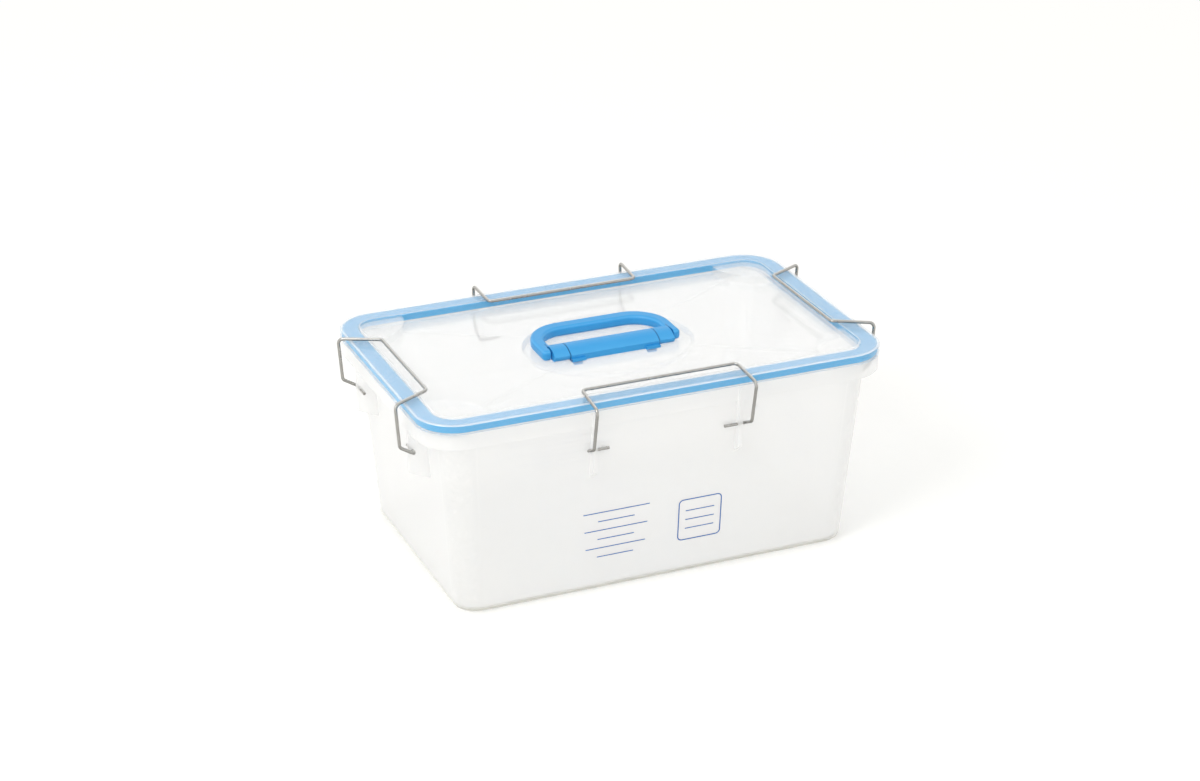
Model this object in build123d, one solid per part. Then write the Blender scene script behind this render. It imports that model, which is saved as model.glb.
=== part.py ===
from build123d import *
import math
import os

# Specimen transport box: drafted tub, lid with a seal ring, four wire bails, folding carry handle.
# Millimetres. The origin is on the floor under the middle of the box, +Z up, +X along the length,
# and -Y is the front. Every size below is written once; the rest is worked out from them.

# --- lid ---
LID_LENGTH = 535.0
LID_WIDTH = 324.0
BOX_HEIGHT = 233.0            # floor to the top of the lid rim
LID_CORNER_RADIUS = 45.0
LID_WALL = 1.8
RIM_WIDTH = 22.3
RIM_SIDE_HEIGHT = 10.4
RIM_EDGE_ROUND = 2.0
RECESS_DEPTH = 10.0           # rim top down to the panel
PAD_RADIUS = 55.0             # raised corner pads in the recess
PAD_DROP = 1.5                # rim top down to the pads
DISH_HALF_LENGTH = 97.0       # oval dish that the handle folds into
DISH_HALF_WIDTH = 79.0
DISH_DEPTH = 6.0
DISH_SLOPE_RUN = 3.0
PANEL_RIB_WIDTH = 3.0
PANEL_RIB_HEIGHT = 0.9
PANEL_RIB_DISH_GAP = 3.6      # dish edge to the near end of each rib

# --- tub ---
TUB_WALL = 2.2
TUB_FLOOR = 2.6
WALL_DRAFT = 0.081            # outward lean, mm per mm of height
END_OVERHANG = 21.5           # lid edge beyond the end walls, at the shelf
SIDE_OVERHANG = 3.0           # lid edge beyond the side walls, at the shelf
TUB_TOP_CORNER_RADIUS = 32.0
TUB_BASE_CORNER_RADIUS = 25.0
TUB_BASE_ROUND = 8.0
SHELF_THICKNESS = 2.2
COLLAR_THICKNESS = 2.2
COLLAR_INSET = 1.0            # collar face inside the lid edge
COLLAR_HEIGHT = 17.5
BEAD_THICKNESS = 1.5
BEAD_HEIGHT = 6.4             # sealing bead above the shelf

# --- seal ring ---
SEAL_LIP = 1.7                # part of the ring outside the sealing bead
SEAL_HEIGHT = 7.6

# --- lugs and wire bails ---
WIRE_DIAMETER = 3.6
LUG_THICKNESS = 4.6
LUG_SPACING = 168.0           # middle to middle, the same on all four sides
LUG_DEPTH_BELOW_PIVOT = 25.0
LUG_NOSE = 4.5                # pivot axis to the lug's outer edge
LUG_FOOT_RUN = 10.0           # the lug's slanted lower edge
SIDE_BAIL_SPAN = 181.5        # leg to leg, wire axis, front and back
END_BAIL_SPAN = 188.5         # the same, left and right
FRONT_BAIL_LEAN = 4.0         # degrees outward at rest, against 0 at the ends
BACK_BAIL_LEAN = -4.0
BAIL_PIN_LENGTH = 24.0
PIVOT_DROP = 56.0             # rim top down to the bail pivots
SIDE_PIVOT_INSET = 3.2        # lid edge in to the pivot, front and back
END_PIVOT_INSET = 8.6         # lid edge in to the pivot, left and right
SIDE_BAR_INBOARD = 24.0       # pivot in to the bar
END_BAR_INBOARD = 22.5
SIDE_BEND_OUT = 22.5          # pivot out to the upper outer bend
END_BEND_OUT = 20.1
KNEE_OUT = 16.5               # pivot out to the lower bend
KNEE_UP = 10.0
SIDE_BAR_TAPER = 1.5          # the bar is this much shorter at each end
END_BAR_TAPER = 22.1
BAIL_RIM_GAP = 2.1            # wire above the rim at the bar
BAIL_ARM_FALL = 0.9           # bar down to the outer bend
BEND_RADIUS = 5.5
PIN_BEND_RADIUS = 3.6

# --- handle ---
HANDLE_BAR_LENGTH = 105.0
HANDLE_BAR_FRONT = -21.5
HANDLE_BAR_BACK = 4.6
HANDLE_BAR_BACK_HEIGHT = 11.5
HANDLE_BAR_FRONT_HEIGHT = 7.0
HANDLE_BAR_CROWN = 12.8
HANDLE_BAR_ROUND = 1.1        # along the bar's two top edges
KNUCKLE_ARM_LAP = 3.4         # knuckle's outer face past the arm's inner face
GRIP_WIDTH = 163.0
GRIP_BACK = 60.5
GRIP_ARM_WIDTH = 14.0
GRIP_BAR_WIDTH = 17.0
GRIP_THICKNESS = 12.0
GRIP_CORNER_RADIUS = 43.0
GRIP_EDGE_ROUND = 4.0
GRIP_TIP_FRONT = -13.5
GRIP_TIP_RADIUS = 4.5
GRIP_NOTCH_WIDTH = 2.2
GRIP_NOTCH_DEPTH = 12.0
HINGE_PIN_DIAMETER = 3.2
KNUCKLE_END_WALL = 4.1        # knuckle left solid beyond the hinge pin
HINGE_Y = -15.2
HINGE_UP = 6.3                # dish floor up to the hinge axis
FOOT_LENGTH = 17.0
FOOT_OUT = 3.0
FOOT_HEIGHT = 3.2
LEG_LENGTH = 10.0
LEG_THICKNESS = 2.6
LEG_HOOK = 1.6

# --- clearances ---
BODY_GAP = 0.5                # between the lid and the tub
SEAL_GAP = 0.4                # seal ring to the sealing bead
SEAL_SIDE_GAP = 0.1           # seal ring in its channel
RUNNING_GAP = 0.08            # pins in their holes, radial
PIN_SEAT_GAP = 0.02           # hinge pin in the base, radial
GRIP_GAP = 0.5                # grip to the base and to the dish
PANEL_GAP = 0.8               # lid panel above the tub shelf
TOOL_OVERRUN = 1.0            # cutters run this far past a face

# --- levels and places worked out from the sizes above ---
PANEL_TOP = BOX_HEIGHT - RECESS_DEPTH
PANEL_BOTTOM = PANEL_TOP - LID_WALL
DISH_FLOOR = PANEL_TOP - DISH_DEPTH
SKIRT_BOTTOM = BOX_HEIGHT - RIM_SIDE_HEIGHT
COLLAR_TOP = SKIRT_BOTTOM - BODY_GAP
SHELF_TOP = PANEL_BOTTOM - PANEL_GAP
BEAD_TOP = SHELF_TOP + BEAD_HEIGHT
SEAL_TOP = BOX_HEIGHT - LID_WALL
PIVOT_Z = BOX_HEIGHT - PIVOT_DROP
WIRE_RADIUS = WIRE_DIAMETER / 2
HINGE_Z = DISH_FLOOR + HINGE_UP
SIDE_PIVOT = LID_WIDTH / 2 - SIDE_PIVOT_INSET
END_PIVOT = LID_LENGTH / 2 - END_PIVOT_INSET
KNUCKLE_START = HANDLE_BAR_LENGTH / 2 + GRIP_GAP
KNUCKLE_END = GRIP_WIDTH / 2 - GRIP_ARM_WIDTH + KNUCKLE_ARM_LAP
HINGE_PIN_END = KNUCKLE_END - KNUCKLE_END_WALL


def plate(length, width, radius, low, high):
    """Upright prism with a round-cornered rectangle as its outline."""
    outline = Pos(0, 0, low) * RectangleRounded(length, width, radius)
    return extrude(outline, high - low)


def lid_plate(inset, low, high):
    """Prism that follows the lid's outline, a set distance inside it."""
    return plate(LID_LENGTH - 2 * inset, LID_WIDTH - 2 * inset, LID_CORNER_RADIUS - inset, low, high)


def wall_half(overhang, full, height):
    """Half of the tub's outer size along one axis, at a height."""
    return full / 2 - overhang - WALL_DRAFT * (SHELF_TOP - height)


def drafted_block(inset, low, high):
    """The tub's leaning outer shape, a set distance inside it, between two heights."""
    sections = []
    for height in (low, high):
        share = height / SHELF_TOP
        radius = TUB_BASE_CORNER_RADIUS * (1 - share) + TUB_TOP_CORNER_RADIUS * share - inset
        length = 2 * (wall_half(END_OVERHANG, LID_LENGTH, height) - inset)
        width = 2 * (wall_half(SIDE_OVERHANG, LID_WIDTH, height) - inset)
        sections.append(Pos(0, 0, height) * RectangleRounded(length, width, radius))
    return loft(sections, ruled=True)


def round_lowest(shape, radius):
    """Round the edges of the lowest flat face."""
    return fillet(shape.faces().sort_by(Axis.Z)[0].edges(), radius)


def lug(pivot, wall_at_foot):
    """One bail lug as a plate square to the front wall, before its hole is cut."""
    low = PIVOT_Z - LUG_DEPTH_BELOW_PIVOT
    inner = wall_at_foot - TUB_WALL / 2
    outer = pivot + LUG_NOSE
    outline = Polyline(
        (inner, SHELF_TOP), (outer, SHELF_TOP), (outer, low), (inner, low - LUG_FOOT_RUN), close=True)
    face = make_face(Plane.YZ * outline)
    return extrude(face, LUG_THICKNESS / 2, both=True)


def lug_set(pivot, overhang, full):
    """The two lugs of one side, standing on +Y, with their pivot holes."""
    wall = wall_half(overhang, full, PIVOT_Z - LUG_DEPTH_BELOW_PIVOT - LUG_FOOT_RUN)
    hole = Pos(0, pivot, PIVOT_Z) * Rot(0, 90, 0) * Cylinder(
        WIRE_RADIUS + RUNNING_GAP, LUG_THICKNESS + 2 * TOOL_OVERRUN)
    one = lug(pivot, wall) - hole
    return [Pos(side * LUG_SPACING / 2, 0, 0) * one for side in (-1, 1)]


def make_tub():
    shell = round_lowest(drafted_block(0, 0, SHELF_TOP), TUB_BASE_ROUND)
    shelf = lid_plate(COLLAR_INSET, SHELF_TOP - SHELF_THICKNESS, SHELF_TOP)
    collar = lid_plate(COLLAR_INSET, COLLAR_TOP - COLLAR_HEIGHT, COLLAR_TOP)
    collar -= lid_plate(COLLAR_INSET + COLLAR_THICKNESS, COLLAR_TOP - COLLAR_HEIGHT - TOOL_OVERRUN,
                        COLLAR_TOP + TOOL_OVERRUN)
    bead_inset = LID_WALL + SEAL_LIP + SEAL_GAP
    bead = lid_plate(bead_inset, SHELF_TOP - SHELF_THICKNESS, BEAD_TOP)
    bead -= lid_plate(bead_inset + BEAD_THICKNESS, SHELF_TOP - SHELF_THICKNESS - TOOL_OVERRUN,
                      BEAD_TOP + TOOL_OVERRUN)
    lugs = []
    for turn in (0, 180):
        lugs += [Rot(0, 0, turn) * one for one in lug_set(SIDE_PIVOT, SIDE_OVERHANG, LID_WIDTH)]
    for turn in (90, 270):
        lugs += [Rot(0, 0, turn) * one for one in lug_set(END_PIVOT, END_OVERHANG, LID_LENGTH)]
    body = shell + shelf + collar + bead + lugs
    cavity = drafted_block(TUB_WALL, TUB_FLOOR, SHELF_TOP)
    cavity = round_lowest(cavity, TUB_BASE_ROUND - TUB_WALL)
    return body - cavity


def pad_corners(radius, low, high):
    """Quarter discs at the four corners of the recess, kept inside its wall."""
    half_x = LID_LENGTH / 2 - RIM_WIDTH
    half_y = LID_WIDTH / 2 - RIM_WIDTH
    discs = [Pos(sx * half_x, sy * half_y, (low + high) / 2) * Cylinder(radius, high - low)
             for sx in (-1, 1) for sy in (-1, 1)]
    return (discs[0] + discs[1:]) & lid_plate(RIM_WIDTH - LID_WALL / 2, low, high)


def oval_block(grow, low, high):
    """Oval with sloping sides, from the dish floor up to the panel."""
    sections = []
    for height in (low, high):
        run = DISH_SLOPE_RUN * (PANEL_TOP - height) / DISH_DEPTH
        oval = Ellipse(DISH_HALF_LENGTH + grow - run, DISH_HALF_WIDTH + grow - run)
        sections.append(Pos(0, 0, height) * oval)
    return loft(sections, ruled=True)


def panel_ribs():
    """Four low diagonal ribs from the dish to the corner pads."""
    half_x = LID_LENGTH / 2 - RIM_WIDTH
    half_y = LID_WIDTH / 2 - RIM_WIDTH
    slant = math.atan2(half_y, half_x)
    start = 1 / math.hypot(math.cos(slant) / DISH_HALF_LENGTH, math.sin(slant) / DISH_HALF_WIDTH)
    start += PANEL_RIB_DISH_GAP
    end = math.hypot(half_x, half_y) - PAD_RADIUS
    blank = Pos((start + end) / 2, 0, PANEL_TOP) * Box(end - start, PANEL_RIB_WIDTH, 2 * PANEL_RIB_HEIGHT)
    turns = [math.degrees(slant), 180 - math.degrees(slant)]
    return [Rot(0, 0, turn + half) * blank for turn in turns for half in (0, 180)]


def leg_places():
    """Middle of each snap leg of the handle base: x, y and the way its hook points."""
    x = (HANDLE_BAR_LENGTH - FOOT_LENGTH) / 2
    front = HANDLE_BAR_FRONT + LEG_THICKNESS
    back = HANDLE_BAR_BACK - LEG_THICKNESS
    return [(side * x, y, way) for side in (-1, 1) for y, way in ((front, -1), (back, 1))]


def make_lid():
    cap = fillet(lid_plate(0, SKIRT_BOTTOM, BOX_HEIGHT).faces().sort_by(Axis.Z)[-1].edges(), RIM_EDGE_ROUND)
    cap -= lid_plate(LID_WALL, SKIRT_BOTTOM - TOOL_OVERRUN, SEAL_TOP)
    cap -= lid_plate(RIM_WIDTH, SEAL_TOP - TOOL_OVERRUN, BOX_HEIGHT + TOOL_OVERRUN)
    tray = lid_plate(RIM_WIDTH - LID_WALL, PANEL_BOTTOM, BOX_HEIGHT - LID_WALL / 2)
    tray -= lid_plate(RIM_WIDTH, PANEL_TOP, BOX_HEIGHT)
    pads = pad_corners(PAD_RADIUS, PANEL_BOTTOM, BOX_HEIGHT - PAD_DROP)
    under_pads = pad_corners(PAD_RADIUS - LID_WALL, PANEL_BOTTOM - TOOL_OVERRUN,
                             BOX_HEIGHT - PAD_DROP - LID_WALL)
    under_pads &= lid_plate(RIM_WIDTH, PANEL_BOTTOM - TOOL_OVERRUN, BOX_HEIGHT)
    body = cap + tray + pads + panel_ribs() - under_pads
    body += oval_block(LID_WALL, DISH_FLOOR - LID_WALL, PANEL_BOTTOM + LID_WALL / 2)
    body -= oval_block(0, DISH_FLOOR, PANEL_TOP + PANEL_RIB_HEIGHT + TOOL_OVERRUN)
    for x, y, way in leg_places():
        slot = Box(LEG_LENGTH + 2 * GRIP_GAP, LEG_THICKNESS + 2 * GRIP_GAP, 2 * (LID_WALL + TOOL_OVERRUN))
        body -= Pos(x, y, DISH_FLOOR) * slot
    return body


def make_seal():
    low = SEAL_TOP - SEAL_HEIGHT
    ring = lid_plate(LID_WALL + SEAL_SIDE_GAP, low, SEAL_TOP)
    ring -= lid_plate(RIM_WIDTH - LID_WALL - SEAL_SIDE_GAP, low - TOOL_OVERRUN, SEAL_TOP + TOOL_OVERRUN)
    groove = lid_plate(LID_WALL + SEAL_LIP, low - TOOL_OVERRUN, BEAD_TOP + SEAL_GAP)
    groove -= lid_plate(LID_WALL + SEAL_LIP + BEAD_THICKNESS + 2 * SEAL_GAP, low - 2 * TOOL_OVERRUN, SEAL_TOP)
    return ring - groove


def wire(points, radii):
    """Round wire bent along a line of points, with its own radius at each bend."""
    path = FilletPolyline(*points, radius=radii)
    start = Plane(origin=path @ 0, z_dir=path % 0)
    return sweep(start * Circle(WIRE_RADIUS), path=path)


def make_bail(pivot, span, inboard, bend_out, taper, lean=0):
    """One bail on +Y at rest: pin, knee, leg, arm, bar, and the same back again."""
    leg_x = span / 2
    bar_z = BOX_HEIGHT + BAIL_RIM_GAP + WIRE_RADIUS
    half = [
        (leg_x - BAIL_PIN_LENGTH, pivot, PIVOT_Z),
        (leg_x, pivot, PIVOT_Z),
        (leg_x, pivot + KNEE_OUT, PIVOT_Z + KNEE_UP),
        (leg_x, pivot + bend_out, bar_z - BAIL_ARM_FALL),
        (leg_x - taper, pivot - inboard, bar_z),
    ]
    mirrored = [(-x, y, z) for x, y, z in reversed(half)]
    radii = [PIN_BEND_RADIUS, BEND_RADIUS, BEND_RADIUS, BEND_RADIUS]
    upright = wire(half + mirrored, radii + radii[::-1])
    return Pos(0, pivot, PIVOT_Z) * Rot(-lean, 0, 0) * Pos(0, -pivot, -PIVOT_Z) * upright


def bar_profile(low, front):
    """Side view of the handle bar, seen along X: flat below, crowned above."""
    front_top = (front, DISH_FLOOR + HANDLE_BAR_FRONT_HEIGHT)
    crown = ((front + HANDLE_BAR_BACK) / 2, DISH_FLOOR + HANDLE_BAR_CROWN)
    back_top = (HANDLE_BAR_BACK, DISH_FLOOR + HANDLE_BAR_BACK_HEIGHT)
    top = ThreePointArc(front_top, crown, back_top)
    rest = Polyline(back_top, (HANDLE_BAR_BACK, low), (front, low), front_top)
    face = make_face(Plane.YZ * (top + rest))
    return fillet(face.vertices().sort_by(Axis.Z)[2:], HANDLE_BAR_ROUND)


def hinge_bore(radius, half_length):
    """Cylinder along the handle's hinge axis."""
    return Pos(0, HINGE_Y, HINGE_Z) * Rot(0, 90, 0) * Cylinder(radius, 2 * half_length)


def make_handle_base():
    body = extrude(bar_profile(DISH_FLOOR, HANDLE_BAR_FRONT), HANDLE_BAR_LENGTH / 2, both=True)
    leg_bottom = DISH_FLOOR - LID_WALL - GRIP_GAP - LEG_THICKNESS
    for side in (-1, 1):
        x = side * (HANDLE_BAR_LENGTH - FOOT_LENGTH) / 2
        foot = Box(FOOT_LENGTH, 2 * FOOT_OUT, FOOT_HEIGHT)
        body += Pos(x, HANDLE_BAR_FRONT, DISH_FLOOR + FOOT_HEIGHT / 2) * foot
    for x, y, way in leg_places():
        leg = Box(LEG_LENGTH, LEG_THICKNESS, DISH_FLOOR - leg_bottom + TOOL_OVERRUN)
        body += Pos(x, y, (DISH_FLOOR + TOOL_OVERRUN + leg_bottom) / 2) * leg
        hook = Box(LEG_LENGTH, LEG_HOOK, LEG_THICKNESS)
        body += Pos(x, y + way * (LEG_THICKNESS + LEG_HOOK) / 2, leg_bottom + LEG_THICKNESS / 2) * hook
    return body - hinge_bore(HINGE_PIN_DIAMETER / 2 + PIN_SEAT_GAP, HANDLE_BAR_LENGTH)


def grip_loop(side_inset, back_inset):
    """Rounded rectangle about the tip line, its edges a set distance inside the grip's."""
    depth = GRIP_BACK - GRIP_TIP_FRONT - back_inset
    outline = RectangleRounded(GRIP_WIDTH - 2 * side_inset, 2 * depth, GRIP_CORNER_RADIUS - side_inset)
    return Pos(0, GRIP_TIP_FRONT) * outline


def grip_outline():
    """Plan of the folded grip: a loop with wide round back corners, open at the front."""
    depth = GRIP_BACK - GRIP_TIP_FRONT
    behind_tips = Pos(0, GRIP_TIP_FRONT + depth / 2) * Rectangle(GRIP_WIDTH, depth)
    loop = (grip_loop(0, 0) - grip_loop(GRIP_ARM_WIDTH, GRIP_BAR_WIDTH)) & behind_tips
    return fillet(loop.vertices().group_by(Axis.Y)[0], GRIP_TIP_RADIUS)


def make_handle_grip():
    low = DISH_FLOOR + GRIP_GAP
    loop = extrude(Pos(0, 0, low) * grip_outline(), GRIP_THICKNESS)
    flat_faces = loop.faces().filter_by(Axis.Z)
    loop = fillet(flat_faces.edges(), GRIP_EDGE_ROUND)
    profile = bar_profile(low, HANDLE_BAR_FRONT + GRIP_GAP)
    blank = extrude(profile, KNUCKLE_END - KNUCKLE_START, dir=(1, 0, 0))
    heel = blank.edges().filter_by(Axis.X).sort_by(lambda edge: edge.center().Y + edge.center().Z)[0]
    blank = fillet(heel, HINGE_UP - 2 * GRIP_GAP)
    right = Pos(KNUCKLE_START, 0, 0) * blank
    notch_x = KNUCKLE_END + GRIP_NOTCH_WIDTH / 2
    notch_y = GRIP_TIP_FRONT - TOOL_OVERRUN + GRIP_NOTCH_DEPTH / 2
    notch = Box(GRIP_NOTCH_WIDTH, GRIP_NOTCH_DEPTH + 2 * TOOL_OVERRUN, 2 * (GRIP_THICKNESS + TOOL_OVERRUN))
    body = loop + right + mirror(right, Plane.YZ)
    for side in (-1, 1):
        body -= Pos(side * notch_x, notch_y, low) * notch
    return body - hinge_bore(HINGE_PIN_DIAMETER / 2 + RUNNING_GAP, HINGE_PIN_END + GRIP_GAP)


def make_hinge_pin():
    return hinge_bore(HINGE_PIN_DIAMETER / 2, HINGE_PIN_END)


side_sizes = (SIDE_PIVOT, SIDE_BAIL_SPAN, SIDE_BAR_INBOARD, SIDE_BEND_OUT, SIDE_BAR_TAPER)
end_bail = make_bail(END_PIVOT, END_BAIL_SPAN, END_BAR_INBOARD, END_BEND_OUT, END_BAR_TAPER)

nodes = {
    "tub": make_tub(),
    "lid": make_lid(),
    "lid_seal": make_seal(),
    "bail_back": make_bail(*side_sizes, lean=BACK_BAIL_LEAN),
    "bail_front": Rot(0, 0, 180) * make_bail(*side_sizes, lean=FRONT_BAIL_LEAN),
    "bail_left": Rot(0, 0, 90) * end_bail,
    "bail_right": Rot(0, 0, 270) * end_bail,
    "handle_base": make_handle_base(),
    "handle_grip": make_handle_grip(),
    "handle_hinge_pin": make_hinge_pin(),
}

os.makedirs("parts", exist_ok=True)
for name, shape in nodes.items():
    export_step(shape, f"parts/{name}.step")
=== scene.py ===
import math

import bmesh
import bpy
from mathutils import Matrix, Vector
from mathutils.bvhtree import BVHTree


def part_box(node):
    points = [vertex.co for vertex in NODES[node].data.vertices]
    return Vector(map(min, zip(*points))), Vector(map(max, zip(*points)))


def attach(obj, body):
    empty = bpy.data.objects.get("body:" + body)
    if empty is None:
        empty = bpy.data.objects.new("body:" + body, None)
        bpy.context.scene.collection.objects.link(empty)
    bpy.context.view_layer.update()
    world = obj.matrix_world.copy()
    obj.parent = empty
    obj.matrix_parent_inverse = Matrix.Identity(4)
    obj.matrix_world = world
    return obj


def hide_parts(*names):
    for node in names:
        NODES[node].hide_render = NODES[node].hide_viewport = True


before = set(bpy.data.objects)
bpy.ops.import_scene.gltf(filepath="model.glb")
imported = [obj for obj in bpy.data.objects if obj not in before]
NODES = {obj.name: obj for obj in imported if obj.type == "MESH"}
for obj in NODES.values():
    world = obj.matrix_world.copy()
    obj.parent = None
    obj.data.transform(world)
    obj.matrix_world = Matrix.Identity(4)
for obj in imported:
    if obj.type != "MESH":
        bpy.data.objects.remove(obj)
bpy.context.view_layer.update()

# Specimen transport box: finishes, soft seal and printed marks, in metres, in the model's own frame.
# +Z is up, +X runs along the box, and -Y is the front.

MM = 0.001


# --- shader node helpers ---

def link_in(tree, socket, value):
    """Feed a socket from another socket, or set its plain value."""
    if isinstance(value, bpy.types.NodeSocket):
        tree.links.new(value, socket)
    else:
        socket.default_value = value


def add_node(tree, kind, settings=None, **inputs):
    """Place a node, with its settings and its inputs by name."""
    node = tree.nodes.new(kind)
    for key, value in (settings or {}).items():
        setattr(node, key, value)
    for key, value in inputs.items():
        link_in(tree, node.inputs[key.replace("_", " ")], value)
    return node


def math_node(tree, operation, first, second=0.0):
    node = tree.nodes.new("ShaderNodeMath")
    node.operation = operation
    link_in(tree, node.inputs[0], first)
    link_in(tree, node.inputs[1], second)
    return node.outputs[0]


def hold_mask(tree, value):
    """Keep a mask between 0 and 1."""
    return math_node(tree, "MINIMUM", math_node(tree, "MAXIMUM", value, 0.0), 1.0)


def mask_around(tree, value, middle, fall):
    """A mask that is 1 where a value is at its middle, and falls away on both sides."""
    off = math_node(tree, "ABSOLUTE", math_node(tree, "SUBTRACT", value, middle))
    near = math_node(tree, "SUBTRACT", 1.0, math_node(tree, "MULTIPLY", off, fall))
    return math_node(tree, "MAXIMUM", near, 0.0)


def blend_colours(tree, share, first, second):
    node = tree.nodes.new("ShaderNodeMix")
    node.data_type = "RGBA"
    link_in(tree, node.inputs[0], share)
    link_in(tree, node.inputs[6], first)
    link_in(tree, node.inputs[7], second)
    return node.outputs[2]


def object_noise(tree, scale, detail=3.0, stretch=(1.0, 1.0, 1.0)):
    """Noise in the piece's own coordinates; scale is in cells per metre."""
    place = add_node(tree, "ShaderNodeTexCoord").outputs["Object"]
    mapping = add_node(tree, "ShaderNodeMapping", Vector=place, Scale=stretch)
    noise = add_node(tree, "ShaderNodeTexNoise", Vector=mapping.outputs[0], Scale=scale, Detail=detail)
    return noise.outputs[0]


def start_group(name, inputs, outputs):
    """A node group with named sockets: returns the group, its input node and its output node."""
    group = bpy.data.node_groups.new(name, "ShaderNodeTree")
    for direction, sockets in (("INPUT", inputs), ("OUTPUT", outputs)):
        for socket_name, kind, default in sockets:
            socket = group.interface.new_socket(socket_name, in_out=direction, socket_type=kind)
            if default is not None:
                socket.default_value = default
    return group, group.nodes.new("NodeGroupInput"), group.nodes.new("NodeGroupOutput")


# --- shared effects ---

SMEAR_SCALE = 25.0             # smears from handling, in cells per metre
NOISE_MIDDLE = 0.5
SCRATCH_STRETCH = (0.08, 1.0, 1.0)
SCRATCH_FROM = 0.64            # noise above this is a scratch
WAVE_SCALE = 30.0              # unevenness of a moulding, in cells per metre

# The turn of a face is the Z of its normal: 1 on a flat top, 0 on a wall and -1 on an underside.
ROUNDED_TURN, ROUNDED_FALL = 0.62, 3.2
FLAT_FROM, FLAT_RISE = 0.85, 6.6
UNDER_FROM, UNDER_RISE = 0.25, 1.1
BASE_ROUND_TURN, BASE_ROUND_FALL = -0.45, 2.7
UPWARD_FROM, UPWARD_RISE = 0.25, 3.0


def make_tone_drift():
    """Slow drift between two tones, as in a large moulding."""
    group, given, result = start_group(
        "tone_drift",
        [("Tone", "NodeSocketColor", None), ("Other Tone", "NodeSocketColor", None),
         ("Scale", "NodeSocketFloat", 8.0)],
        [("Color", "NodeSocketColor", None)])
    noise = object_noise(group, given.outputs["Scale"], 2.0)
    group.links.new(blend_colours(group, noise, given.outputs["Tone"], given.outputs["Other Tone"]),
                    result.inputs["Color"])
    return group


def make_handled_gloss():
    """Roughness with broad smears and fine scratches from handling."""
    group, given, result = start_group(
        "handled_gloss",
        [("Roughness", "NodeSocketFloat", 0.3), ("Smear", "NodeSocketFloat", 0.05),
         ("Scratch", "NodeSocketFloat", 0.05), ("Scratch Scale", "NodeSocketFloat", 900.0)],
        [("Roughness", "NodeSocketFloat", None)])
    smear = math_node(group, "SUBTRACT", object_noise(group, SMEAR_SCALE, 4.0), NOISE_MIDDLE)
    smear = math_node(group, "MULTIPLY", smear, given.outputs["Smear"])
    fine = object_noise(group, given.outputs["Scratch Scale"], 2.0, SCRATCH_STRETCH)
    fine = math_node(group, "GREATER_THAN", fine, SCRATCH_FROM)
    fine = math_node(group, "MULTIPLY", fine, given.outputs["Scratch"])
    total = math_node(group, "ADD", given.outputs["Roughness"], math_node(group, "ADD", smear, fine))
    group.links.new(total, result.inputs["Roughness"])
    return group


def make_mould_grain():
    """Height of a moulded skin: fine grain over a slight unevenness."""
    group, given, result = start_group(
        "mould_grain",
        [("Grain Scale", "NodeSocketFloat", 1500.0), ("Grain", "NodeSocketFloat", 1.0),
         ("Unevenness", "NodeSocketFloat", 0.3)],
        [("Height", "NodeSocketFloat", None)])
    grain = math_node(group, "MULTIPLY", object_noise(group, given.outputs["Grain Scale"], 2.0),
                      given.outputs["Grain"])
    wave = math_node(group, "MULTIPLY", object_noise(group, WAVE_SCALE, 1.0), given.outputs["Unevenness"])
    group.links.new(math_node(group, "ADD", grain, wave), result.inputs["Height"])
    return group


def make_face_turn():
    """Masks from the way a surface faces: flat tops, undersides, rounded edges and the base's round."""
    group, _, result = start_group(
        "face_turn", [],
        [("Rounded", "NodeSocketFloat", None), ("Flat", "NodeSocketFloat", None),
         ("Under", "NodeSocketFloat", None), ("Base Round", "NodeSocketFloat", None)])
    normal = add_node(group, "ShaderNodeTexCoord").outputs["Normal"]
    up = add_node(group, "ShaderNodeSeparateXYZ", Vector=normal).outputs["Z"]
    flat = math_node(group, "MULTIPLY", math_node(group, "SUBTRACT", up, FLAT_FROM), FLAT_RISE)
    under = math_node(group, "MULTIPLY", math_node(group, "SUBTRACT", UNDER_FROM, up), UNDER_RISE)
    masks = {
        "Rounded": mask_around(group, up, ROUNDED_TURN, ROUNDED_FALL),
        "Flat": hold_mask(group, flat),
        "Under": hold_mask(group, under),
        "Base Round": mask_around(group, up, BASE_ROUND_TURN, BASE_ROUND_FALL),
    }
    for name, mask in masks.items():
        group.links.new(mask, result.inputs[name])
    return group


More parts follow.
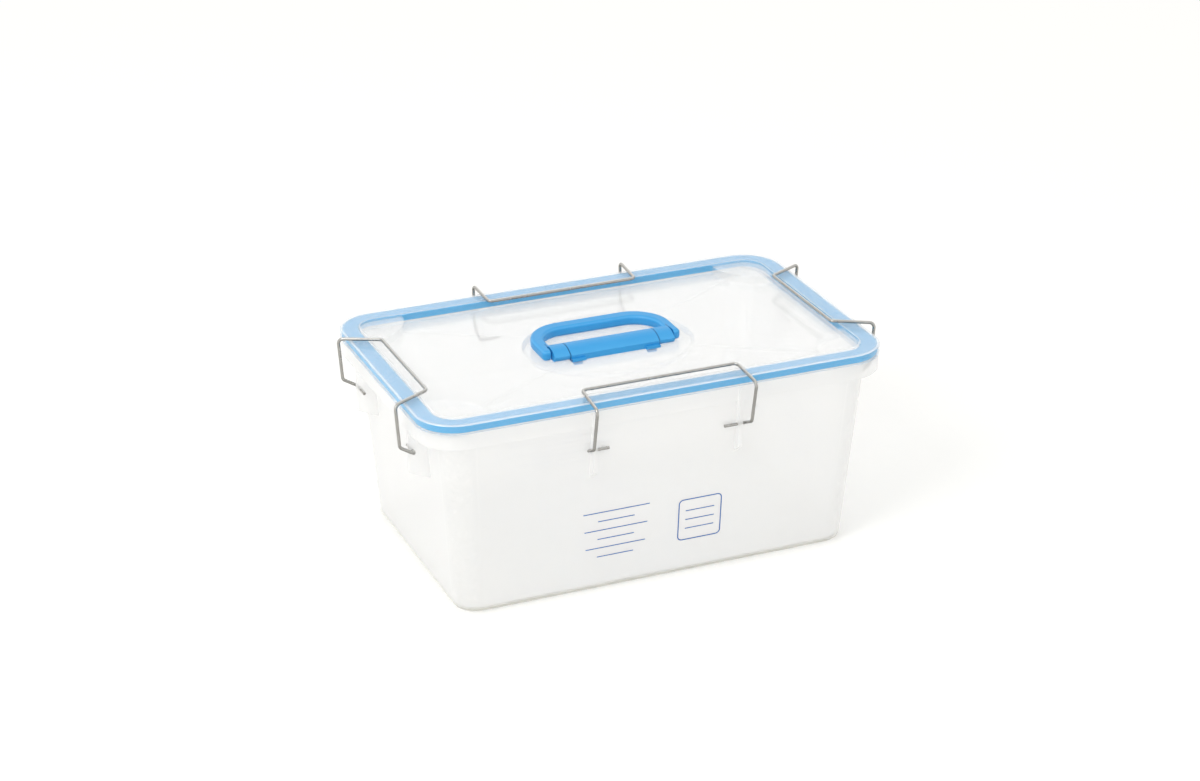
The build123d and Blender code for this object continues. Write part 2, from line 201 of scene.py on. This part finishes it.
def make_outline_band():
    """Mask of a narrow band on upward faces, at a set inset from a round-cornered outline."""
    group, given, result = start_group(
        "outline_band",
        [("Half Length", "NodeSocketFloat", 0.2), ("Half Width", "NodeSocketFloat", 0.1),
         ("Corner Radius", "NodeSocketFloat", 0.04), ("Inset", "NodeSocketFloat", 0.001),
         ("Spread", "NodeSocketFloat", 0.002)],
        [("Mask", "NodeSocketFloat", None)])
    texture = add_node(group, "ShaderNodeTexCoord")
    place = add_node(group, "ShaderNodeSeparateXYZ", Vector=texture.outputs["Object"])
    squares = []
    for axis, half in (("X", "Half Length"), ("Y", "Half Width")):
        straight = math_node(group, "SUBTRACT", given.outputs[half], given.outputs["Corner Radius"])
        beyond = math_node(group, "SUBTRACT", math_node(group, "ABSOLUTE", place.outputs[axis]), straight)
        squares.append(math_node(group, "POWER", math_node(group, "MAXIMUM", beyond, 0.0), 2.0))
    reach = math_node(group, "SQRT", math_node(group, "ADD", squares[0], squares[1]))
    inset = math_node(group, "SUBTRACT", given.outputs["Corner Radius"], reach)
    off = math_node(group, "ABSOLUTE", math_node(group, "SUBTRACT", inset, given.outputs["Inset"]))
    near = math_node(group, "SUBTRACT", 1.0, math_node(group, "DIVIDE", off, given.outputs["Spread"]))
    up = add_node(group, "ShaderNodeSeparateXYZ", Vector=texture.outputs["Normal"]).outputs["Z"]
    upward = math_node(group, "MULTIPLY", math_node(group, "SUBTRACT", up, UPWARD_FROM), UPWARD_RISE)
    near = math_node(group, "MULTIPLY", math_node(group, "MAXIMUM", near, 0.0), hold_mask(group, upward))
    group.links.new(near, result.inputs["Mask"])
    return group


def make_seam_shade():
    """Mask of the shadow in a pair of seams square to X, in front of a given Y."""
    group, given, result = start_group(
        "seam_shade",
        [("At", "NodeSocketFloat", 0.05), ("Spread", "NodeSocketFloat", 0.001),
         ("Back", "NodeSocketFloat", 0.01)],
        [("Mask", "NodeSocketFloat", None)])
    texture = add_node(group, "ShaderNodeTexCoord")
    place = add_node(group, "ShaderNodeSeparateXYZ", Vector=texture.outputs["Object"])
    off = math_node(group, "SUBTRACT", math_node(group, "ABSOLUTE", place.outputs["X"]), given.outputs["At"])
    near = math_node(group, "DIVIDE", math_node(group, "ABSOLUTE", off), given.outputs["Spread"])
    near = math_node(group, "MAXIMUM", math_node(group, "SUBTRACT", 1.0, near), 0.0)
    front = math_node(group, "LESS_THAN", place.outputs["Y"], given.outputs["Back"])
    group.links.new(math_node(group, "MULTIPLY", near, front), result.inputs["Mask"])
    return group


FACE_TURN = make_face_turn()
SEAM_SHADE = make_seam_shade()
OUTLINE_BAND = make_outline_band()
TONE_DRIFT = make_tone_drift()
HANDLED_GLOSS = make_handled_gloss()
MOULD_GRAIN = make_mould_grain()


# --- one finish ---

SLANT_POWER = 3.0              # how late a clear skin turns milky towards its edges
LID_HALF_LENGTH, LID_HALF_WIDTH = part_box("lid")[1].x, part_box("lid")[1].y
LID_CORNER_RADIUS = 45 * MM
# Painted highlight lines along the rim, as bands: inset from the lid's outline, spread and added cover.
RIM_EDGE_HIGHLIGHT = (1.3 * MM, 3.2 * MM, 0.45)
RIM_INNER_HIGHLIGHT = (21.8 * MM, 1.6 * MM, 0.55)
# Painted shade in the seams across the handle: distance from its middle.
KNUCKLE_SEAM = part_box("handle_base")[1].x + 0.2 * MM
ARM_SEAM = 72 * MM
SEAM_SPREAD = 1.1 * MM
SEAM_BACK = 7 * MM             # the seams lie in front of this Y
SEAM_SHADE_TONE = (0.008, 0.13, 0.36, 1)


def place_group(tree, group, **inputs):
    node = tree.nodes.new("ShaderNodeGroup")
    node.node_tree = group
    for key, value in inputs.items():
        link_in(tree, node.inputs[key.replace("_", " ")], value)
    return node.outputs[0]


def finish(name, tone, other_tone, tone_scale, gloss, grain, bump, plain, veil=None, edges=None,
           highlight_bands=(), seams=()):
    """A finish from the shared effects, with its plain values on the shader itself.

    veil is how much a clear plastic's skin hides what is behind it: face on, then added where it is
    seen edge on, then added by each face_turn mask. edges are painted light and shade: tones that the
    faces of a face_turn mask go to, each with its share. bands are painted highlight lines along the
    lid's outline, and seams are painted shade lines across the handle."""
    material = bpy.data.materials.new(name)
    material.use_nodes = True
    tree = material.node_tree
    shader = tree.nodes["Principled BSDF"]
    colour = place_group(tree, TONE_DRIFT, Tone=tone, Other_Tone=other_tone, Scale=tone_scale)
    roughness = place_group(tree, HANDLED_GLOSS, **gloss)
    height = place_group(tree, MOULD_GRAIN, **grain)
    relief = add_node(tree, "ShaderNodeBump", Height=height, **bump)
    if veil or edges:
        turn = tree.nodes.new("ShaderNodeGroup")
        turn.node_tree = FACE_TURN
    # painted light and shade: each face_turn mask takes the colour towards a lit or a shaded tone
    for mask, (painted_tone, most) in (edges or {}).items():
        share = math_node(tree, "MULTIPLY", turn.outputs[mask], most)
        colour = blend_colours(tree, share, colour, painted_tone)
    # painted shade in the seams between the handle's parts
    for at in seams:
        seam = place_group(tree, SEAM_SHADE, At=at, Spread=SEAM_SPREAD, Back=SEAM_BACK)
        colour = blend_colours(tree, seam, colour, SEAM_SHADE_TONE)
    tree.links.new(colour, shader.inputs["Base Color"])
    tree.links.new(roughness, shader.inputs["Roughness"])
    tree.links.new(relief.outputs[0], shader.inputs["Normal"])
    for socket, value in plain.items():
        shader.inputs[socket].default_value = value
    if veil:
        face_on, edge_on, turned = veil["face_on"], veil["edge_on"], veil["turned"]
        facing = add_node(tree, "ShaderNodeLayerWeight", Blend=0.5).outputs["Facing"]
        slanted = math_node(tree, "POWER", facing, SLANT_POWER)
        cover = math_node(tree, "ADD", math_node(tree, "MULTIPLY", slanted, edge_on), face_on)
        for mask, added in turned.items():
            cover = math_node(tree, "ADD", cover, math_node(tree, "MULTIPLY", turn.outputs[mask], added))
        # painted highlight lines along the rim, as bands of added cover
        for inset, spread, added in highlight_bands:
            band = place_group(tree, OUTLINE_BAND, Half_Length=LID_HALF_LENGTH, Half_Width=LID_HALF_WIDTH,
                               Corner_Radius=LID_CORNER_RADIUS, Inset=inset, Spread=spread)
            cover = math_node(tree, "ADD", cover, math_node(tree, "MULTIPLY", band, added))
        tree.links.new(cover, shader.inputs["Alpha"])
    return material


# --- finishes ---

def frosted_tub_finish():
    return finish(
        "frosted_clear_tub",
        tone=(0.988, 0.981, 0.970, 1), other_tone=(0.992, 0.989, 0.983, 1), tone_scale=6.0,
        gloss=dict(Roughness=0.30, Smear=0.08, Scratch=0.03, Scratch_Scale=900.0),
        grain=dict(Grain_Scale=900.0, Grain=0.6, Unevenness=1.0),
        bump=dict(Strength=0.05, Distance=0.1 * MM),
        plain={"Transmission Weight": 0.25, "IOR": 1.35, "Metallic": 0.0},
        # The Base Round cover and dark beige tone are painted shade along the base's rounded edge, where the
        # tub meets the floor.
        veil=dict(face_on=0.42, edge_on=0.24, turned={"Rounded": 0.15, "Base Round": 0.5}),
        edges={"Base Round": ((0.50, 0.49, 0.41, 1), 1.0)})


def clear_lid_finish():
    return finish(
        "clear_gloss_lid",
        tone=(0.98, 0.98, 0.98, 1), other_tone=(0.99, 0.99, 0.99, 1), tone_scale=5.0,
        gloss=dict(Roughness=0.11, Smear=0.05, Scratch=0.04, Scratch_Scale=900.0),
        grain=dict(Grain_Scale=700.0, Grain=0.3, Unevenness=1.0),
        bump=dict(Strength=0.04, Distance=0.1 * MM),
        plain={"Transmission Weight": 0.40, "IOR": 1.45, "Metallic": 0.0},
        # The Flat and Rounded cover is painted light: painted glare on flat tops makes the rim's top paler
        # than its side, and a painted highlight runs on rounded edges.
        veil=dict(face_on=0.10, edge_on=0.22, turned={"Flat": 0.14, "Rounded": 0.30}),
        highlight_bands=(RIM_EDGE_HIGHLIGHT, RIM_INNER_HIGHLIGHT))


def blue_seal_finish():
    return finish(
        "soft_blue_seal",
        tone=(0.030, 0.385, 0.720, 1), other_tone=(0.045, 0.410, 0.745, 1), tone_scale=12.0,
        gloss=dict(Roughness=0.42, Smear=0.10, Scratch=0.03, Scratch_Scale=700.0),
        grain=dict(Grain_Scale=1100.0, Grain=1.0, Unevenness=0.5),
        bump=dict(Strength=0.10, Distance=0.2 * MM),
        plain={"IOR": 1.45, "Metallic": 0.0})


def blue_handle_finish():
    return finish(
        "satin_blue_handle",
        tone=(0.024, 0.325, 0.700, 1), other_tone=(0.040, 0.360, 0.745, 1), tone_scale=30.0,
        gloss=dict(Roughness=0.36, Smear=0.10, Scratch=0.12, Scratch_Scale=1100.0),
        grain=dict(Grain_Scale=1800.0, Grain=1.0, Unevenness=0.4),
        bump=dict(Strength=0.18, Distance=0.15 * MM),
        plain={"IOR": 1.48, "Metallic": 0.0},
        # Painted light: rounded edges go lighter as a painted highlight, undersides darker as painted shade,
        # and the seams carry painted shade.
        edges={"Rounded": ((0.11, 0.46, 0.83, 1), 0.60), "Under": ((0.012, 0.215, 0.54, 1), 0.5)},
        seams=(KNUCKLE_SEAM, ARM_SEAM))


def bail_wire_finish():
    return finish(
        "drawn_steel_wire",
        tone=(0.40, 0.39, 0.37, 1), other_tone=(0.52, 0.51, 0.48, 1), tone_scale=140.0,
        gloss=dict(Roughness=0.27, Smear=0.12, Scratch=0.14, Scratch_Scale=2200.0),
        grain=dict(Grain_Scale=2600.0, Grain=1.0, Unevenness=0.2),
        bump=dict(Strength=0.25, Distance=0.08 * MM),
        plain={"Metallic": 1.0},
        # Painted light: undersides go nearly black as painted shade, and flat tops go pale as a painted
        # highlight.
        edges={"Under": ((0.10, 0.10, 0.095, 1), 0.85), "Flat": ((0.78, 0.77, 0.74, 1), 0.8)})


def hinge_pin_finish():
    return finish(
        "ground_steel_pin",
        tone=(0.50, 0.50, 0.49, 1), other_tone=(0.60, 0.60, 0.59, 1), tone_scale=90.0,
        gloss=dict(Roughness=0.22, Smear=0.08, Scratch=0.10, Scratch_Scale=3000.0),
        grain=dict(Grain_Scale=3000.0, Grain=1.0, Unevenness=0.1),
        bump=dict(Strength=0.2, Distance=0.05 * MM),
        plain={"Metallic": 1.0})


def mark_ink_finish():
    return finish(
        "blue_mark_ink",
        tone=(0.022, 0.100, 0.340, 1), other_tone=(0.045, 0.140, 0.420, 1), tone_scale=260.0,
        gloss=dict(Roughness=0.50, Smear=0.10, Scratch=0.10, Scratch_Scale=1500.0),
        grain=dict(Grain_Scale=2400.0, Grain=1.0, Unevenness=0.2),
        bump=dict(Strength=0.15, Distance=0.04 * MM),
        plain={"IOR": 1.45, "Metallic": 0.0})


def dress_nodes():
    """Give every modelled node its finish."""
    wire = bail_wire_finish()
    handle = blue_handle_finish()
    finishes = {
        "tub": frosted_tub_finish(),
        "lid": clear_lid_finish(),
        "bail_front": wire,
        "bail_back": wire,
        "bail_left": wire,
        "bail_right": wire,
        "handle_base": handle,
        "handle_grip": handle,
        "handle_hinge_pin": hinge_pin_finish(),
    }
    for name, material in finishes.items():
        mesh = NODES[name].data
        if not mesh.materials:
            mesh.materials.append(material)
        for index in range(len(mesh.materials)):
            mesh.materials[index] = material


# --- meshes ---

def add_piece(name, bm, material, body, smooth_angle=None):
    """Turn a bmesh into a piece that rides on a body."""
    bmesh.ops.recalc_face_normals(bm, faces=bm.faces)
    mesh = bpy.data.meshes.new(name)
    bm.to_mesh(mesh)
    bm.free()
    mesh.materials.append(material)
    if smooth_angle is not None:
        mesh.shade_smooth()
        mesh.set_sharp_from_angle(angle=math.radians(smooth_angle))
    piece = bpy.data.objects.new(name, mesh)
    bpy.context.scene.collection.objects.link(piece)
    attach(piece, body)
    return piece


def rounded_loop(half_x, half_y, radius, steps):
    """Corner arcs of a round-cornered rectangle, as one closed run of (x, y) points."""
    points = []
    for quarter, (sx, sy) in enumerate(((1, 1), (-1, 1), (-1, -1), (1, -1))):
        middle = (sx * (half_x - radius), sy * (half_y - radius))
        for step in range(steps + 1):
            turn = math.radians(90.0 * (quarter + step / steps))
            points.append((middle[0] + radius * math.cos(turn), middle[1] + radius * math.sin(turn)))
    return points


def join_rings(bm, rings, close_rings=True):
    """Quads between neighbouring rings of vertices; the last ring joins the first."""
    pairs = list(zip(rings, rings[1:]))
    if close_rings:
        pairs.append((rings[-1], rings[0]))
    for first, second in pairs:
        count = len(first)
        for i in range(count):
            j = (i + 1) % count
            bm.faces.new((first[i], first[j], second[j], second[i]))


# --- soft seal ring ---

SEAL_CORNER_STEPS = 28
SEAL_INNER_INSET = 20.4 * MM   # lid edge in to the recess wall's hidden face
SEAL_AIR = 0.06 * MM           # between the ring and the lid above it
SEAL_SIDE_AIR = 0.25 * MM      # between the ring and the rim walls
SEAL_LIP = 1.5 * MM
SEAL_GROOVE = 2.3 * MM         # width of the groove over the tub's bead
SEAL_GROOVE_DEPTH = 3.5 * MM
SEAL_ROUND = 0.45 * MM
SEAL_ROUND_SEGMENTS = 3
SEAL_ROUND_ANGLE = 40          # edges sharper than this many degrees are rounded
SEAL_SMOOTH_ANGLE = 30


def make_seal_ring(material):
    """Moulded ring with an outer lip, a groove for the tub's bead and softly rounded corners."""
    low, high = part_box("lid_seal")
    outer_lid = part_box("lid")[1]
    outer = outer_lid.x - high.x + SEAL_SIDE_AIR
    inner = SEAL_INNER_INSET - SEAL_SIDE_AIR
    top = high.z - SEAL_AIR
    bottom = low.z
    groove_in = outer + SEAL_LIP + SEAL_GROOVE
    groove_top = bottom + SEAL_GROOVE_DEPTH
    section = [(outer, bottom), (outer, top), (inner, top), (inner, bottom), (groove_in, bottom),
               (groove_in, groove_top), (outer + SEAL_LIP, groove_top), (outer + SEAL_LIP, bottom)]
    bm = bmesh.new()
    rings = []
    for inset, height in section:
        loop = rounded_loop(outer_lid.x - inset, outer_lid.y - inset, LID_CORNER_RADIUS - inset,
                            SEAL_CORNER_STEPS)
        rings.append([bm.verts.new((x, y, height)) for x, y in loop])
    join_rings(bm, rings)
    ring = add_piece("seal_ring", bm, material, "lid", smooth_angle=SEAL_SMOOTH_ANGLE)
    soften = ring.modifiers.new("soft_corners", "BEVEL")
    soften.width = SEAL_ROUND
    soften.segments = SEAL_ROUND_SEGMENTS
    soften.limit_method = "ANGLE"
    soften.angle_limit = math.radians(SEAL_ROUND_ANGLE)
    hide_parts("lid_seal")


# --- printed marks ---

INK_BACK = 0.03 * MM           # underside of the ink off the wall
INK_FACE = 0.09 * MM           # face of the ink off the wall
RULE_WIDTH = 1.1 * MM
FRAME_WIDTH = 1.3 * MM
FRAME_RADIUS = 5.0 * MM
FRAME_STEPS = 6
SQUARE_LINE_SHARE = 0.34       # half a line inside the square, as a share of its side
SQUARE_PITCH_SHARE = 0.22
SQUARE_ROWS = (1, 1, 1)
ROW_SHARES = (1.0, 0.55, 0.95, 0.55, 0.9, 0.55)
FRONT, BACK, RIGHT = (0, -1, 0), (0, 1, 0), (1, 0, 0)
# In millimetres: left, right, top and pitch of rows, or across, height and side of a square.
FIELDS = {
    "front_ruled_field": (FRONT, "rows", (-92, -15, 97, 11)),
    "front_square_field": (FRONT, "square", (45, 67.5, 50)),
    "back_ruled_field": (BACK, "rows", (-73, 65, 42, 6.5)),
    "right_ruled_field": (RIGHT, "rows", (-31, 33, 104, 10)),
}


class Wall:
    """An outer wall of the tub, found by looking at it square on from outside."""

    def __init__(self, facing):
        self.facing = Vector(facing)
        self.right = Vector((0, 0, 1)).cross(self.facing)
        self.tree = BVHTree.FromObject(NODES["tub"], bpy.context.evaluated_depsgraph_get())

    def point(self, across, height, off):
        start = self.facing + self.right * across + Vector((0, 0, height))
        place, normal, _, _ = self.tree.ray_cast(start, -self.facing)
        return place + normal * off


def ink_stroke(bm, wall, line, width, closed=False):
    """A thin printed line of even width along (across, height) points on a wall."""
    count = len(line)
    sides = []
    for i, (u, v) in enumerate(line):
        before = line[i - 1] if closed or i else (u, v)
        after = line[(i + 1) % count] if closed or i < count - 1 else (u, v)
        run = Vector((after[0] - before[0], after[1] - before[1])).normalized() * (width / 2)
        sides.append(((u - run.y, v + run.x), (u + run.y, v - run.x)))
    rings = []
    for left, right in sides:
        corners = ((left, INK_BACK), (left, INK_FACE), (right, INK_FACE), (right, INK_BACK))
        rings.append([bm.verts.new(wall.point(u, v, off)) for (u, v), off in corners])
    join_rings(bm, rings, close_rings=closed)
    if not closed:
        bm.faces.new(rings[0])
        bm.faces.new(reversed(rings[-1]))


def ruled_rows(bm, wall, left, right, top, pitch, shares):
    """Rows of ruled lines, centred, each a share of the block's width."""
    middle = (left + right) / 2
    for row, share in enumerate(shares):
        half = (right - left) * share / 2
        height = top - pitch * row
        ink_stroke(bm, wall, [(middle - half, height), (middle + half, height)], RULE_WIDTH)


def square_frame(bm, wall, across, height, side):
    """A plain round-cornered square, upright, with three ruled lines inside."""
    loop = [(across + x, height + y) for x, y in rounded_loop(side / 2, side / 2, FRAME_RADIUS, FRAME_STEPS)]
    ink_stroke(bm, wall, loop, FRAME_WIDTH, closed=True)
    half_line = side * SQUARE_LINE_SHARE
    pitch = side * SQUARE_PITCH_SHARE
    ruled_rows(bm, wall, across - half_line, across + half_line, height + pitch, pitch, SQUARE_ROWS)


def make_marks(material):
    """Plain ruled fields on the front, the back and the right end."""
    for name, (facing, kind, sizes) in FIELDS.items():
        wall = Wall(facing)
        bm = bmesh.new()
        sizes = [value * MM for value in sizes]
        if kind == "rows":
            ruled_rows(bm, wall, *sizes, ROW_SHARES)
        else:
            square_frame(bm, wall, *sizes)
        add_piece(name, bm, material, "tub")


# --- floor, light and camera ---

FLOOR_DROP = 0.2 * MM
FLOOR_SIZE = 9.0
FLOOR_CELLS = 8
FLOOR_TONE = (0.92, 0.915, 0.89, 1)
FLOOR_ROUGHNESS = 0.9
WHITE = (1, 1, 1, 1)
WORLD_LEVEL = 0.92             # the part of the white studio that lights the scene
KEY_FROM = Vector((-0.63, -0.35, 0.70))
KEY_DISTANCE = 3.0
KEY_SIZE = 1.3
KEY_POWER = 22.0
FLOOR_LIFT = 0.12              # added glow of the floor where it is seen
CLEAR_LAYERS = 32              # clear skins that one line of sight may pass through
SCATTER_BOUNCES = 12           # light goes on scattering inside the white plastic


def seen_directly(tree):
    """1 for rays from the camera, and for those that metal and clear plastic pass on."""
    path = add_node(tree, "ShaderNodeLightPath")
    both = math_node(tree, "MAXIMUM", path.outputs["Is Camera Ray"], path.outputs["Is Glossy Ray"])
    return math_node(tree, "MAXIMUM", both, path.outputs["Is Transmission Ray"])


def make_floor():
    bm = bmesh.new()
    bmesh.ops.create_grid(bm, x_segments=FLOOR_CELLS, y_segments=FLOOR_CELLS, size=FLOOR_SIZE)
    mesh = bpy.data.meshes.new("studio_floor")
    bm.to_mesh(mesh)
    bm.free()
    floor = bpy.data.objects.new("studio_floor", mesh)
    floor.location.z = -FLOOR_DROP
    bpy.context.scene.collection.objects.link(floor)
    material = bpy.data.materials.new("pale_floor")
    material.use_nodes = True
    tree = material.node_tree
    shader = tree.nodes["Principled BSDF"]
    shader.inputs["Base Color"].default_value = FLOOR_TONE
    shader.inputs["Roughness"].default_value = FLOOR_ROUGHNESS
    shader.inputs["Specular IOR Level"].default_value = 0.0
    shader.inputs["Emission Color"].default_value = WHITE
    tree.links.new(math_node(tree, "MULTIPLY", seen_directly(tree), FLOOR_LIFT),
                   shader.inputs["Emission Strength"])
    mesh.materials.append(material)


def make_world():
    world = bpy.data.worlds.new("studio_white")
    bpy.context.scene.world = world
    world.use_nodes = True
    tree = world.node_tree
    background = tree.nodes["Background"]
    background.inputs["Color"].default_value = WHITE
    extra = math_node(tree, "MULTIPLY", seen_directly(tree), 1.0 - WORLD_LEVEL)
    tree.links.new(math_node(tree, "ADD", extra, WORLD_LEVEL), background.inputs["Strength"])


def make_key_light():
    light = bpy.data.lights.new("key_light", "AREA")
    light.shape = "DISK"
    light.size = KEY_SIZE
    light.energy = KEY_POWER
    lamp = bpy.data.objects.new("key_light", light)
    direction = KEY_FROM.normalized()
    lamp.location = direction * KEY_DISTANCE
    lamp.rotation_euler = direction.to_track_quat("Z", "Y").to_euler()
    bpy.context.scene.collection.objects.link(lamp)


LENS = 83.0905
SENSOR = 36.0
CAMERA_AZIMUTH = -23.0035
CAMERA_ELEVATION = 24.375
CAMERA_ROLL = -0.018
CAMERA_DISTANCE = 3.1256
CAMERA_TARGET = Vector((0, 0, 6.69 * MM))
CAMERA_RIGHT = 8.848 * MM
CAMERA_UP = -143.472 * MM


def make_camera():
    azimuth, elevation, roll = (math.radians(v) for v in (CAMERA_AZIMUTH, CAMERA_ELEVATION, CAMERA_ROLL))
    back = Vector((math.sin(azimuth) * math.cos(elevation), -math.cos(azimuth) * math.cos(elevation),
                   math.sin(elevation)))
    level_right = (-back).cross(Vector((0, 0, 1))).normalized()
    level_up = level_right.cross(-back)
    right = level_right * math.cos(roll) + level_up * math.sin(roll)
    up = level_up * math.cos(roll) - level_right * math.sin(roll)
    data = bpy.data.cameras.new("camera")
    data.lens = LENS
    data.sensor_width = SENSOR
    data.sensor_fit = "HORIZONTAL"
    camera = bpy.data.objects.new("camera", data)
    place = CAMERA_TARGET + back * CAMERA_DISTANCE - right * CAMERA_RIGHT - up * CAMERA_UP
    turn = Matrix((right, up, back)).transposed().to_4x4()
    camera.matrix_world = Matrix.Translation(place) @ turn
    bpy.context.scene.collection.objects.link(camera)
    bpy.context.scene.camera = camera


bpy.context.scene.view_settings.view_transform = "Standard"
cycles = bpy.context.scene.cycles
cycles.transparent_max_bounces = CLEAR_LAYERS
cycles.max_bounces = SCATTER_BOUNCES
cycles.diffuse_bounces = SCATTER_BOUNCES
cycles.transmission_bounces = SCATTER_BOUNCES
make_camera()
make_world()
make_key_light()
make_floor()
dress_nodes()
make_seal_ring(blue_seal_finish())
make_marks(mark_ink_finish())
